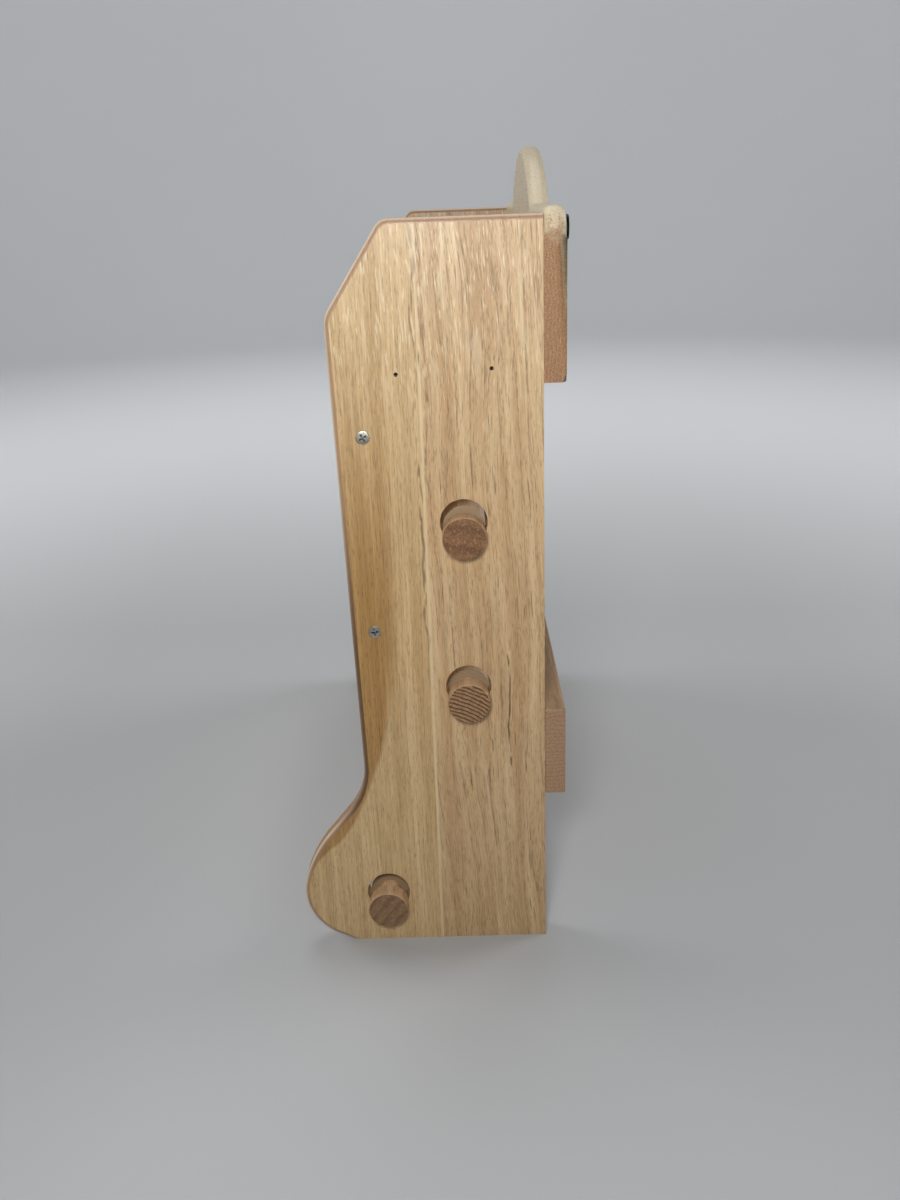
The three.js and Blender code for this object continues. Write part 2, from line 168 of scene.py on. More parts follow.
rack_middle = (frame_low + frame_high) / 2
lens_place = Vector(camera.location)
KEY_FROM_LENS = Vector((0.0, -0.04, 0.07))
KEY_AIM = Vector((panel_high.x, 0.0, 0.48))
OVERHEAD = Vector((-0.6, -0.1, 1.4))
softbox("key by the lens", lens_place + KEY_FROM_LENS, KEY_AIM, width=0.12, watts=2.35)
softbox("overhead", rack_middle + OVERHEAD, rack_middle + Vector((OVERHEAD.x, 0, 0)), width=1.0, watts=7.0)
for name, side in (("front", -1), ("rear", 1)):
    softbox(name, rack_middle + Vector((-0.45, 1.5 * side, 0.8)), rack_middle, width=0.9, watts=8.0)

# Four more light the backdrop, the weakest of them behind the camera.
BACKDROP_WATTS = {0: 5.0, 90: 26.0, 180: 34.0, 270: 26.0}
LAMP_HEIGHT = 1.7
for turn, watts in BACKDROP_WATTS.items():
    outward = Vector((math.cos(math.radians(turn)), math.sin(math.radians(turn)), 0))
    lamp_place = outward + Vector((0, 0, LAMP_HEIGHT))
    aim = lamp_place + FLOOR_RADIUS * outward - Vector((0, 0, 1))
    softbox(f"backdrop {turn}", lamp_place, aim, width=1.4, watts=watts)


# ---------------------------------------------------------------- side panels
# Each panel is two strips of pale hardwood glued edge to edge, sawn to shape, routed round its free
# edges, drilled, sanded and varnished. The grain runs up the panel; the routed edge has drunk the
# finish and turned brown, and a golden stain follows the lower front edge.

# Widths and lengths of the marks in the wood. Real fibres and vessels are finer than these.
BAND_MM = (7.0, 220.0)       # soft bands of colour
FIBRE_MM = (0.5, 11.0)       # fine streaks
VESSEL_MM = (0.5, 4.0)       # dark dashes where the saw cut vessels open
VEIN_MM = (0.55, 70.0)       # dark veins
BREAK_MM = (1.5, 9.0)        # gaps in the veins and ring lines
WAVER_MM = (38.0, 130.0)     # the slow bends of the grain
RIPPLE_MM = (9.0, 34.0)      # and its quicker ripples


def smooth(tree, value, low, high, to_low=0.0, to_high=1.0):
    """A value moved softly from one range to another, and held inside it."""
    return add_node(tree, "MapRange", {0: value, 1: low, 2: high, 3: to_low, 4: to_high},
                    interpolation_type="SMOOTHSTEP").outputs[0]


def times(tree, first, second):
    """Two numbers multiplied."""
    return add_node(tree, "Math", {0: first, 1: second}, operation="MULTIPLY").outputs[0]


def mixed(tree, amount, first, second, blend="MIX"):
    """A colour between first and second."""
    mix = add_node(tree, "Mix", {0: amount, 6: first, 7: second}, data_type="RGBA", blend_type=blend)
    return mix.outputs[2]


def shaded(tree, colour, value):
    """A colour made lighter or darker by a number."""
    grey = add_node(tree, "CombineColor", {0: value, 1: value, 2: value}).outputs[0]
    return mixed(tree, 1.0, colour, grey, "MULTIPLY")


def hardwood(tree, grain, heart_mm, ring_mm, seed_mm, waver_mm=4.0, lean=0.0, uneven=1.0):
    """The figure of hardwood sawn from a log, as sockets to colour it by.

    The grain runs along X or Z, and heart_mm is where the log's heart lies, seen along the grain.
    """
    coords = add_node(tree, "TexCoord")
    if grain == "X":
        turn, along = (0, lean - math.pi / 2, 0), (1, 0, 0)
        heart = (seed_mm[0] - heart_mm[1], seed_mm[1] + heart_mm[0], 0)
    else:
        turn, along = (lean, 0, 0), (0, 0, 1)
        heart = (seed_mm[0] + heart_mm[0], seed_mm[1] + heart_mm[1], 0)
    in_mm = (1 / MM, 1 / MM, 1 / MM)
    log = add_node(tree, "Mapping", {0: coords.outputs["Object"], 1: seed_mm, 2: turn, 3: in_mm})

    def stretched(vector, size_mm, detail, roughness=0.5):
        wide, long = size_mm
        shrunk = add_node(tree, "VectorMath", {0: vector, 1: (1 / wide, 1 / wide, 1 / long)},
                          operation="MULTIPLY")
        return add_node(tree, "TexNoise", {0: shrunk.outputs[0], 2: 1.0, 3: detail, 4: roughness})

    grown = log.outputs[0]
    for size_mm, shift_mm in ((WAVER_MM, 2 * waver_mm), (RIPPLE_MM, 0.45 * waver_mm)):
        noise = stretched(log.outputs[0], size_mm, 1.0).outputs[1]
        centred = add_node(tree, "VectorMath", {0: noise, 1: (0.5, 0.5, 0.5)}, operation="SUBTRACT")
        shift = add_node(tree, "VectorMath", {0: centred.outputs[0], 1: (shift_mm, shift_mm, 0)},
                         operation="MULTIPLY")
        grown = add_node(tree, "VectorMath", {0: grown, 1: shift.outputs[0]}, operation="ADD").outputs[0]

    bands = stretched(grown, BAND_MM, 3.0).outputs[0]
    fibres = stretched(grown, FIBRE_MM, 2.0, 0.65).outputs[0]
    vessels = stretched(grown, VESSEL_MM, 1.0).outputs[0]
    veins = stretched(grown, VEIN_MM, 2.0).outputs[0]
    breaks = stretched(log.outputs[0], BREAK_MM, 1.0).outputs[0]

    from_heart = add_node(tree, "VectorMath", {0: grown, 1: heart}, operation="SUBTRACT").outputs[0]
    across = add_node(tree, "VectorMath", {0: from_heart, 1: (1, 1, 0)}, operation="MULTIPLY").outputs[0]
    radius = add_node(tree, "VectorMath", {0: across}, operation="LENGTH").outputs[1]
    spread = times(tree, bands, 2.0 * uneven)
    years = add_node(tree, "Math", {0: radius, 1: 1 / ring_mm, 2: spread}, operation="MULTIPLY_ADD")
    year = add_node(tree, "Math", {0: years.outputs[0]}, operation="FRACT").outputs[0]
    rising = smooth(tree, year, 0.35, 0.85)
    falling = smooth(tree, year, 0.95, 1.0)
    late = add_node(tree, "Math", {0: rising, 1: falling}, operation="SUBTRACT").outputs[0]
    closing = add_node(tree, "Math", {0: smooth(tree, year, 0.88, 0.95), 1: falling}, operation="SUBTRACT")

    # Vessels crowd in the late part of each year's ring.
    crowd = add_node(tree, "Math", {0: late, 1: 0.08, 2: vessels}, operation="MULTIPLY_ADD").outputs[0]
    broken = times(tree, smooth(tree, veins, 0.60, 0.68), smooth(tree, breaks, 0.36, 0.56))
    facing = add_node(tree, "VectorMath", {0: coords.outputs["Normal"], 1: along}, operation="DOT_PRODUCT")
    steep = add_node(tree, "Math", {0: facing.outputs[1]}, operation="ABSOLUTE").outputs[0]
    return {"object": coords.outputs["Object"], "grown": grown, "bands": bands, "fibres": fibres,
            "rings": late, "vessels": smooth(tree, crowd, 0.60, 0.72), "veins": broken, "breaks": breaks,
            "ring_lines": times(tree, closing.outputs[0], smooth(tree, breaks, 0.36, 0.58, 0.2, 1.0)),
            "end": smooth(tree, steep, 0.5, 0.92)}


def wood_colour(tree, figure, pale, deep, dark, end_pale, end_deep, rings=0.3, veins=0.6, ring_lines=0.2):
    """Pale and deep bands, fibres, dark veins and vessels along the grain, and browner end grain."""
    colour = mixed(tree, smooth(tree, figure["bands"], 0.32, 0.68), linear(pale), linear(deep))
    colour = mixed(tree, times(tree, figure["rings"], rings), colour, linear(deep))
    colour = shaded(tree, colour, smooth(tree, figure["fibres"], 0.28, 0.72, 0.87, 1.11))
    end_grain = mixed(tree, figure["rings"], linear(end_pale), linear(end_deep))
    end_grain = shaded(tree, end_grain, smooth(tree, figure["fibres"], 0.28, 0.72, 0.78, 1.22))
    colour = mixed(tree, figure["end"], colour, end_grain)
    colour = mixed(tree, times(tree, figure["ring_lines"], ring_lines), colour, linear(dark))
    colour = mixed(tree, times(tree, figure["vessels"], 0.34), colour, linear(dark))
    return mixed(tree, times(tree, figure["veins"], veins), colour, linear(dark))


def varnish(tree, shader, figure, colour):
    """Thin satin varnish: it follows the fibres and vessels, and end grain stays duller."""
    tree.links.new(colour, shader.inputs["Base Color"])
    sheen = smooth(tree, figure["fibres"], 0.3, 0.7, 0.54, 0.42)
    dull = add_node(tree, "Math", {0: figure["end"], 1: 0.22, 2: sheen}, operation="MULTIPLY_ADD")
    tree.links.new(dull.outputs[0], shader.inputs["Roughness"])
    height = add_node(tree, "Math", {0: figure["vessels"], 1: -0.8, 2: figure["fibres"]},
                      operation="MULTIPLY_ADD")
    bump = add_node(tree, "Bump", {"Strength": 0.4, "Distance": 0.25 * MM, "Height": height.outputs[0]})
    tree.links.new(bump.outputs[0], shader.inputs["Normal"])
    shader.inputs["IOR"].default_value = 1.5
    shader.inputs["Coat Weight"].default_value = 0.2
    shader.inputs["Coat Roughness"].default_value = 0.3


GLUE_LINE_MM = 54.0                       # forward of the back edge
CRACK_MM, CRACK_FOOT_MM, CRACK_TOP_MM = 17.0, 98.0, 162.0
LINE_BEND_MM, LINE_SWAY_MM = 22.0, 4.0    # how often and how far the lines up the panel waver
# The stain's inner edge, as height and distance forward of the back edge.
STAIN_EDGE_MM = [(0, 150), (45, 118), (52, 112.5), (63, 101), (81, 91), (98, 84.5), (111, 80), (136, 75),
                 (190, 70), (357, 66)]
STAIN_TOP_MM, STAIN_FAR_MM = 357, 150


FRONT_STRIP_LOG_MM = Vector((310, 47, 800))         # where the front strip was cut, from the rear one


def panel_material(name, log_mm):
    """Varnished pale hardwood: two strips, a glue line, a stain, a crack and a brown routed edge."""
    material, tree, shader = new_material(name)
    rear = hardwood(tree, "Z", (90, 190), 6.0, log_mm, waver_mm=5.0, lean=math.radians(-2.2))
    front = hardwood(tree, "Z", (40, -560), 2.4, tuple(Vector(log_mm) + FRONT_STRIP_LOG_MM), waver_mm=2.0)
    rear_colour = wood_colour(tree, rear, "#cfb085", "#b99569", "#6a4e36", "#c4a27e", "#ab8865",
                              rings=0.25, veins=0.7, ring_lines=0.45)
    front_colour = wood_colour(tree, front, "#d2b384", "#bb9a69", "#745638", "#c4a27e", "#ab8865",
                               rings=0.3, veins=0.45, ring_lines=0.25)

    place = add_node(tree, "SeparateXYZ", {0: rear["object"]})
    forward = add_node(tree, "Math", {0: place.outputs[1], 1: -1 / MM, 2: panel_high.y / MM},
                       operation="MULTIPLY_ADD").outputs[0]
    up = times(tree, place.outputs[2], 1 / MM)
    height = times(tree, up, 1 / LINE_BEND_MM)
    waver = add_node(tree, "TexNoise", {1: height, 2: 1.0, 3: 1.0}, noise_dimensions="1D")
    wavered = add_node(tree, "Math", {0: waver.outputs[0], 1: LINE_SWAY_MM, 2: forward},
                       operation="MULTIPLY_ADD")

    def line_at(place_mm, half_mm, amount):
        """How strongly a wavering line up the panel shows."""
        middle_mm = place_mm + LINE_SWAY_MM / 2
        offset = add_node(tree, "Math", {0: wavered.outputs[0], 1: middle_mm}, operation="SUBTRACT")
        away = add_node(tree, "Math", {0: offset.outputs[0]}, operation="ABSOLUTE").outputs[0]
        return smooth(tree, away, 0.3 * half_mm, half_mm, amount, 0.0)

    in_front = smooth(tree, forward, GLUE_LINE_MM - 0.4, GLUE_LINE_MM + 0.4)
    colour = mixed(tree, in_front, rear_colour, front_colour)
    from_glue = add_node(tree, "Math", {0: forward, 1: GLUE_LINE_MM}, operation="SUBTRACT").outputs[0]
    beside_glue = add_node(tree, "Math", {0: from_glue}, operation="ABSOLUTE").outputs[0]
    colour = mixed(tree, smooth(tree, beside_glue, 0.3, 1.0, 0.6, 0.0), colour, linear("#dfc79d"))

    # Open pores darken the line beside the glue, and one long crack runs up the rear strip.
    pocks = times(tree, line_at(GLUE_LINE_MM + 1.6, 1.1, 0.8), smooth(tree, rear["breaks"], 0.42, 0.6))
    pocks = times(tree, pocks, smooth(tree, up, 140, 190))
    crack = times(tree, line_at(CRACK_MM, 0.7, 0.9), smooth(tree, rear["breaks"], 0.34, 0.5))
    crack = times(tree, crack, smooth(tree, up, CRACK_FOOT_MM - 12, CRACK_FOOT_MM + 8))
    crack = times(tree, crack, smooth(tree, up, CRACK_TOP_MM - 8, CRACK_TOP_MM + 12, 1.0, 0.0))
    colour = mixed(tree, pocks, colour, linear("#7a5f45"))
    colour = mixed(tree, crack, colour, linear("#5a4230"))

    # Near the top, pale streaks along the open grain are painted highlight, growing stronger towards the
    # top.
    painted_highlight = 0.0
    for wide, long, amount in ((0.9, 9.0, 0.55), (2.6, 46.0, 0.36)):
        size = add_node(tree, "VectorMath", {0: rear["grown"], 1: (1 / wide, 1 / wide, 1 / long)},
                        operation="MULTIPLY").outputs[0]
        patches = add_node(tree, "TexNoise", {0: size, 2: 1.0, 3: 2.0}).outputs[0]
        fleck = smooth(tree, patches, 0.56, 0.68, 0.0, amount)
        painted_highlight = add_node(tree, "Math", {0: fleck, 1: painted_highlight}, operation="MAXIMUM").outputs[0]
    painted_highlight = times(tree, painted_highlight, smooth(tree, up, 235, 340, 0.22, 1.0))
    colour = mixed(tree, painted_highlight, colour, linear("#ecdab4"))

    # The stain is golden; its inner edge follows a curve and grows softer towards the top.
    curve = add_node(tree, "FloatCurve", {1: times(tree, up, 1 / STAIN_TOP_MM)})
    points = curve.mapping.curves[0].points
    while len(points) < len(STAIN_EDGE_MM):
        points.new(0.5, 0.5)
    for point, (edge_up, edge_forward) in zip(points, STAIN_EDGE_MM):
        point.location = (edge_up / STAIN_TOP_MM, edge_forward / STAIN_FAR_MM)
    curve.mapping.update()
    past = add_node(tree, "Math", {0: curve.outputs[0], 1: -STAIN_FAR_MM, 2: forward},
                    operation="MULTIPLY_ADD")
    softer = smooth(tree, up, 90, 220, 1.0, 7.0)
    depth = add_node(tree, "Math", {0: past.outputs[0], 1: softer}, operation="DIVIDE").outputs[0]
    stained = times(tree, smooth(tree, depth, -1.0, 1.2), smooth(tree, up, 170, 330, 0.95, 0.0))
    colour = mixed(tree, stained, colour, mixed(tree, 1.0, colour, linear("#d3be95"), "MULTIPLY"))

    # The routed edge is tan, with a darker line beside the face, and browner along the lower front.
    routed = add_node(tree, "Attribute", attribute_name="rounded").outputs["Fac"]
    low_front = times(tree, smooth(tree, up, 62, 84), smooth(tree, up, 160, 262, 1.0, 0.0))
    sideways = add_node(tree, "SeparateXYZ", {0: add_node(tree, "TexCoord").outputs["Normal"]}).outputs[0]
    inward = smooth(tree, add_node(tree, "Math", {0: sideways}, operation="ABSOLUTE").outputs[0], 0.55, 0.92)
    outer_edge = mixed(tree, low_front, linear("#dcc5ab"), linear("#826650"))
    inner_edge = mixed(tree, low_front, linear("#a17d60"), linear("#4c3324"))
    edge = mixed(tree, inward, outer_edge, inner_edge)
    colour = mixed(tree, times(tree, routed, 0.8), colour, edge)
    varnish(tree, shader, rear, colour)
    return material


def beside(point, boxes, spare_mm, seen="yz"):
    """Whether a point lies beside one of some nodes' boxes, in the two directions that seen names."""
    axes = ["xyz".index(letter) for letter in seen]
    spare = spare_mm * MM
    return any(all(low[axis] - spare < point[axis] < high[axis] + spare for axis in axes)
               for low, high in boxes)


def middle_of(edge):
    """The point halfway along an edge."""
    return (edge.verts[0].co + edge.verts[1].co) / 2


def welded(node):
    """A bmesh copy of a CAD node with its loose triangles joined and its flat faces made whole."""
    shape = bmesh.new()
    shape.from_mesh(frame["nodes"][node].data)
    bmesh.ops.remove_doubles(shape, verts=shape.verts, dist=0.005 * MM)
    bmesh.ops.dissolve_limit(shape, angle_limit=math.radians(0.4), verts=shape.verts, edges=shape.edges)
    shape.faces.layers.float.new("rounded")
    return shape


def round_over(shape, chosen, radius_mm, steps, mark=0.0):
    """Rounds the sharp edges that chosen accepts, and marks the new faces."""
    sharp = math.radians(40)
    edges = [edge for edge in shape.edges if edge.calc_face_angle(0.0) > sharp and chosen(edge)]
    result = bmesh.ops.bevel(shape, geom=edges, offset=radius_mm * MM, offset_type="OFFSET",
                             segments=steps, profile=0.5, affect="EDGES", material=-1, loop_slide=False,
                             clamp_overlap=False)
    layer = shape.faces.layers.float["rounded"]
    for face in result["faces"]:
        face[layer] = mark


def place_piece(name, shape, material, node):
    """Makes the shape an object that stands for a CAD node and rides on that node's body."""
    for face in shape.faces:
        face.smooth = True
    mesh = bpy.data.meshes.new(name)
    shape.to_mesh(mesh)
    shape.free()
    mesh.set_sharp_from_angle(angle=math.radians(33))
    mesh.materials.append(material)
    piece = bpy.data.objects.new(name, mesh)
    bpy.context.scene.collection.objects.link(piece)
    even = piece.modifiers.new("even shading", "WEIGHTED_NORMAL")
    even.keep_sharp = True
    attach(piece, body_of[node])
    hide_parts(node)


body_of = {node: body for body, nodes in frame["record"]["behaviour"]["bodies"].items() for node in nodes}
rod_boxes = {roll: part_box(f"rod_{roll}") for roll in ("foil", "film", "kitchen_roll")}
ROUTED_MM, HOLE_EDGE_MM = 2.3, 0.35
BESIDE_ROD_MM, BESIDE_PIN_MM = 8.0, 2.0      # an edge this close to a rod or a pin is round its hole
PANEL_LOGS_MM = {"right": (0.0, 0.0, 0.0), "left": (640.0, 210.0, 90.0)}

for side, log_mm in PANEL_LOGS_MM.items():
    node = f"side_panel_{side}"
    low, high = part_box(node)
    pins = [f"pivot_screw_{place}_{side}" for place in ("upper", "lower")]
    pins += [f"shelf_brad_{side}_{number}" for number in (1, 2)]
    pin_boxes = [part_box(pin) for pin in pins]

    def on_free_edge(edge):
        middle = middle_of(edge)
        across = abs(edge.verts[0].co.x - edge.verts[1].co.x) > 1 * MM
        at_back = middle.y > high.y - 0.5 * MM
        at_foot = middle.z < low.z + 0.5 * MM
        at_rod_hole = beside(middle, rod_boxes.values(), BESIDE_ROD_MM)
        at_pin_hole = beside(middle, pin_boxes, BESIDE_PIN_MM)
        return not (across or at_back or at_foot or at_rod_hole or at_pin_hole)

    def on_rod_hole(edge):
        middle = middle_of(edge)
        on_face = min(abs(middle.x - low.x), abs(middle.x - high.x)) < 0.1 * MM
        return on_face and beside(middle, rod_boxes.values(), BESIDE_ROD_MM)

    panel = welded(node)
    round_over(panel, on_free_edge, ROUTED_MM, 4, mark=1.0)
    round_over(panel, on_rod_hole, HOLE_EDGE_MM, 2)
    place_piece(f"{side}_side_panel", panel, panel_material(f"varnished hardwood panel {side}", log_mm),
                node)


# ---------------------------------------------------------------- back board and lower rail
# Both are pale hardwood boards screwed to the panels' back edges, with their end grain flush with the
# panels' faces. The upper one is arched, and its top is rounded over to a soft edge that carries painted
# highlight in pale yellow where light falls on it from above; the rail is left square. The upper board has
# lost a chip from its lower rear corner.

def board_material(name, log_mm, pale, deep, end_pale, end_deep, ring_mm=3.0, heart_mm=(60.0, 500.0),
                   top_light_from_mm=0.0):
    """Varnished pale hardwood with its grain along the rack, and, above a given height, painted highlight on
    its top.
    """
    material, tree, shader = new_material(name)
    figure = hardwood(tree, "X", heart_mm, ring_mm, log_mm)
    colour = wood_colour(tree, figure, pale, deep, "#6f543b", end_pale, end_deep)
    if top_light_from_mm:
        up = times(tree, add_node(tree, "SeparateXYZ", {0: figure["object"]}).outputs[2], 1 / MM)
        cloud = add_node(tree, "TexNoise", {0: figure["object"], 2: 1 / (5 * MM), 3: 2.0}).outputs[0]
        ragged = add_node(tree, "Math", {0: cloud, 1: 14.0, 2: up}, operation="MULTIPLY_ADD").outputs[0]
        rounded = add_node(tree, "Attribute", attribute_name="rounded").outputs["Fac"]
        # Above the given height the board is painted pale: painted highlight where light falls on its top, a
        # little stronger on the rounded faces.
        painted_top_light = times(tree, smooth(tree, ragged, top_light_from_mm + 4, top_light_from_mm + 18),
                     smooth(tree, rounded, 0, 1, 0.6, 0.7))
        colour = mixed(tree, painted_top_light, colour, linear("#e9dabb"))
        colour = shaded(tree, colour, smooth(tree, figure["fibres"], 0.3, 0.7, 0.92, 1.05))
        colour = mixed(tree, times(tree, figure["veins"], 0.4), colour, linear("#8a6f52"))
    grit = add_node(tree, "TexNoise", {0: figure["object"], 2: 1 / (1.1 * MM), 3: 2.0}).outputs[0]
    pores = times(tree, smooth(tree, grit, 0.5, 0.68, 0.0, 0.5), figure["end"])
    colour = mixed(tree, pores, colour, linear("#86664a"))
    chip = add_node(tree, "Attribute", attribute_name="chipped").outputs["Fac"]
    colour = mixed(tree, chip, colour, linear("#4a2b1e"))
    varnish(tree, shader, figure, colour)
    return material


CROWN_MM = 3.9
RAIL_EDGE_MM = 0.6
CROWN_FROM_MM = 38.0         # below the top of the arch
CHIP_MM = (3.0, 1.6, 4.8)    # along the board, across it and up it
board_low, board_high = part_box("back_board_upper")
hanger_boxes = [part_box(node) for node in frame["nodes"] if node.startswith("hanger")]
back_board = welded("back_board_upper")


def on_crown(edge):
    middle = middle_of(edge)
    across = abs(edge.verts[0].co.y - edge.verts[1].co.y) > 1 * MM
    on_top = middle.z > board_high.z - CROWN_FROM_MM * MM
    return on_top and not across and not beside(middle, hanger_boxes, 0, "xz")


round_over(back_board, on_crown, CROWN_MM, 6, mark=1.0)
rounded = back_board.faces.layers.float["rounded"]
for face in back_board.faces:
    if abs(face.normal.y) < 0.3 and face.calc_center_median().z > board_high.z - CROWN_FROM_MM * MM:
        face[rounded] = 1.0
chipped = back_board.faces.layers.float.new("chipped")
corner = Vector((board_high.x, board_high.y, board_low.z))
cut = bmesh.ops.bisect_plane(back_board, geom=[*back_board.verts, *back_board.edges, *back_board.faces],
                             plane_co=corner - Vector((CHIP_MM[0] * MM, 0, 0)),
                             plane_no=(1 / CHIP_MM[0], 1 / CHIP_MM[1], -1 / CHIP_MM[2]), clear_outer=True)
lips = [edge for edge in cut["geom_cut"] if isinstance(edge, bmesh.types.BMEdge)]
for face in bmesh.ops.edgeloop_fill(back_board, edges=lips)["faces"]:
    face[chipped] = 1.0
place_piece("arched_back_board", back_board,
            board_material("varnished hardwood back board", (95.0, 30.0, 410.0), "#cfb993", "#b79f7a",
                           "#a47b55", "#99704b", ring_mm=1.6, heart_mm=(-300.0, 325.0),
                           top_light_from_mm=board_high.z / MM - CROWN_FROM_MM - 5),
            "back_board_upper")


def on_straight_edge(edge):
    """Box edges are long; the edges round a bore are short."""
    return edge.calc_length() > 3 * MM


rail = welded("back_rail_lower")
round_over(rail, on_straight_edge, RAIL_EDGE_MM, 2)
place_piece("lower_rail", rail,
            board_material("varnished hardwood rail", (720.0, 12.0, 55.0), "#bb9c76", "#a58560",
                           "#a88565", "#a07d5d", ring_mm=2.0), "back_rail_lower")


# ---------------------------------------------------------------- spice shelf and lip
# The shelf is a plain board bradded between the panels, and a low lip bradded along its front edge keeps
# the jars in. The lip's top edges are sanded round where hands reach over it.

SHELF_EDGE_MM, LIP_TOP_MM = 0.5, 2.2
shelf = welded("spice_shelf")
round_over(shelf, on_straight_edge, SHELF_EDGE_MM, 2)
place_piece("jar_shelf", shelf,
            board_material("varnished hardwood shelf", (230.0, 90.0, 640.0), "#cdb089", "#b3926a",
                           "#a57d57", "#96704c", ring_mm=5.0, heart_mm=(30.0, 330.0)),
            "spice_shelf")

lip = welded("shelf_lip")
lip_top = max(corner.co.z for corner in lip.verts)
round_over(lip, lambda edge: on_straight_edge(edge) and middle_of(edge).z > lip_top - 1 * MM, LIP_TOP_MM, 4)
place_piece("jar_lip", lip,
            board_material("varnished hardwood lip", (410.0, 150.0, 20.0), "#cfb28a", "#b5946b",
                           "#a57d57", "#96704c", ring_mm=2.5), "shelf_lip")


# ---------------------------------------------------------------- rods
# Each rod is turned from one length of hardwood: a knob, a neck that lies in the panel's hole, the long
# body that carries the roll, and the same at the other end. Turning leaves pinkish tan sides; the sawn
# ends are dark, thirsty end grain, and each shows its own piece of the log.

ROD_NECK_MM = 5.1
NECK_SPARE_MM = 0.5          # the neck is this much longer than the panel at each face
ROD_STEPS = 64
ROD_END_MM, ROD_SHOULDER_MM = 0.7, 0.35      # how far the knobs' ends and the shoulders are rounded
# For each rod: the log's heart from the rod's middle, ring spacing, colours of the sawn end, light specks.
ROD_ENDS = {
    "foil": {"heart_mm": (-25.0, -140.0), "ring_mm": 9.0, "pale": "#825b38", "deep": "#6f4b2b",
             "specks": 0.3},
    "film": {"heart_mm": (-19.0, -40.0), "ring_mm": 1.9, "pale": "#a17a50", "deep": "#3a2314",
             "specks": 0.1},
    "kitchen_roll": {"heart_mm": (54.0, -46.0), "ring_mm": 5.2, "pale": "#8a6a48", "deep": "#77593c",
                     "specks": 0.1},
}


def rod_material(roll, heart_mm, ring_mm, pale, deep, specks):
    """Turned hardwood with a thin coat of varnish on its sides and raw brown end grain."""
    material, tree, shader = new_material(f"turned hardwood {roll}")
    low, high = rod_boxes[roll]
    heart = ((low.y + high.y) / 2 / MM + heart_mm[0], (low.z + high.z) / 2 / MM + heart_mm[1])
    figure = hardwood(tree, "X", heart, ring_mm, (low.z / MM * 3, 40.0, 75.0), 0.5, uneven=0.5)
    colour = wood_colour(tree, figure, "#dfbb92", "#c0976d", "#7c5b42", pale, deep, 0.3, 0.35)
    grit = add_node(tree, "TexNoise", {0: figure["object"], 2: 1 / (0.9 * MM), 3: 2.0}).outputs[0]
    mottled = shaded(tree, colour, smooth(tree, grit, 0.32, 0.62, 0.7, 1.1))
    colour = mixed(tree, times(tree, figure["end"], 0.8), colour, mottled)
    light = times(tree, times(tree, smooth(tree, grit, 0.58, 0.70), figure["end"]), specks)
    colour = mixed(tree, light, colour, linear("#c29f78"))

    # The shoulders beside each neck are turned smooth, so only the outer ends show raw sawn grain.
    along = add_node(tree, "SeparateXYZ", {0: figure["object"]}).outputs[0]
    reach = add_node(tree, "Math", {0: along}, operation="ABSOLUTE").outputs[0]
    inner = times(tree, figure["end"], smooth(tree, reach, high.x - 4 * MM, high.x - 2 * MM, 0.85, 0.0))
    colour = mixed(tree, inner, colour, linear("#a88f6f"))
    varnish(tree, shader, figure, colour)
    return material


for roll, look in ROD_ENDS.items():
    low, high = rod_boxes[roll]
    middle = (low + high) / 2
    radius = (high.z - low.z) / 2
    neck = ROD_NECK_MM * MM
    neck_ends = (panel_high.x + NECK_SPARE_MM * MM, panel_low.x - NECK_SPARE_MM * MM)
    half = [(high.x, 0), (high.x, radius), (neck_ends[0], radius), (neck_ends[0], neck),
            (neck_ends[1], neck), (neck_ends[1], radius)]
    outline = half + [(-along, out) for along, out in reversed(half)]
    rod = bmesh.new()
    points = [rod.verts.new((along, middle.y, middle.z + out)) for along, out in outline]
    lines = [rod.edges.new(pair) for pair in zip(points, points[1:])]
    bmesh.ops.spin(rod, geom=points + lines, cent=middle, axis=(1, 0, 0), angle=2 * math.pi,
                   steps=ROD_STEPS, use_merge=True)
    bmesh.ops.remove_doubles(rod, verts=rod.verts, dist=0.001 * MM)
    bmesh.ops.recalc_face_normals(rod, faces=rod.faces)
    rod.faces.layers.float.new("rounded")
    round_over(rod, lambda edge: abs(middle_of(edge).x) > high.x - 0.1 * MM, ROD_END_MM, 3)
    round_over(rod, lambda edge: abs(middle_of(edge).x) < high.x - 1.5 * MM, ROD_SHOULDER_MM, 2)
    place_piece(f"{roll}_spindle", rod, rod_material(roll, **look), f"rod_{roll}")


# ---------------------------------------------------------------- tear flaps
# A flap is a narrow board with a half-round top edge, hung on one screw at each end so that it swings
# over the roll. Its edges are sanded soft.

FLAP_EDGE_MM = 0.7
for place, log_mm in {"upper": (150.0, 420.0, 300.0), "lower": (880.0, 260.0, 130.0)}.items():
    node = f"tear_flap_{place}"
    low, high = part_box(node)
    pivots = [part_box(f"pivot_screw_{place}_{side}") for side in ("right", "left")]
    tacks = [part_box(f"cutter_tack_{place}_{number}") for number in (1, 2, 3)]

    def on_flap_edge(edge):
        middle = middle_of(edge)
        return not (beside(middle, pivots, -0.5) or beside(middle, tacks, 0, "xz"))

    flap = welded(node)
    round_over(flap, on_flap_edge, FLAP_EDGE_MM, 2)
    place_piece(f"{place}_flap_board", flap,
                board_material(f"varnished hardwood flap {place}", log_mm, "#cfb188", "#b4946b",
                               "#a57d57", "#96704c", ring_mm=3.5), node)


# ---------------------------------------------------------------- cutters and tacks
# Each cutter is a strip of bright cold-rolled steel with saw teeth, tacked to the inside of its flap
# with three domed steel tacks. Rolling leaves fine lines along the strip.

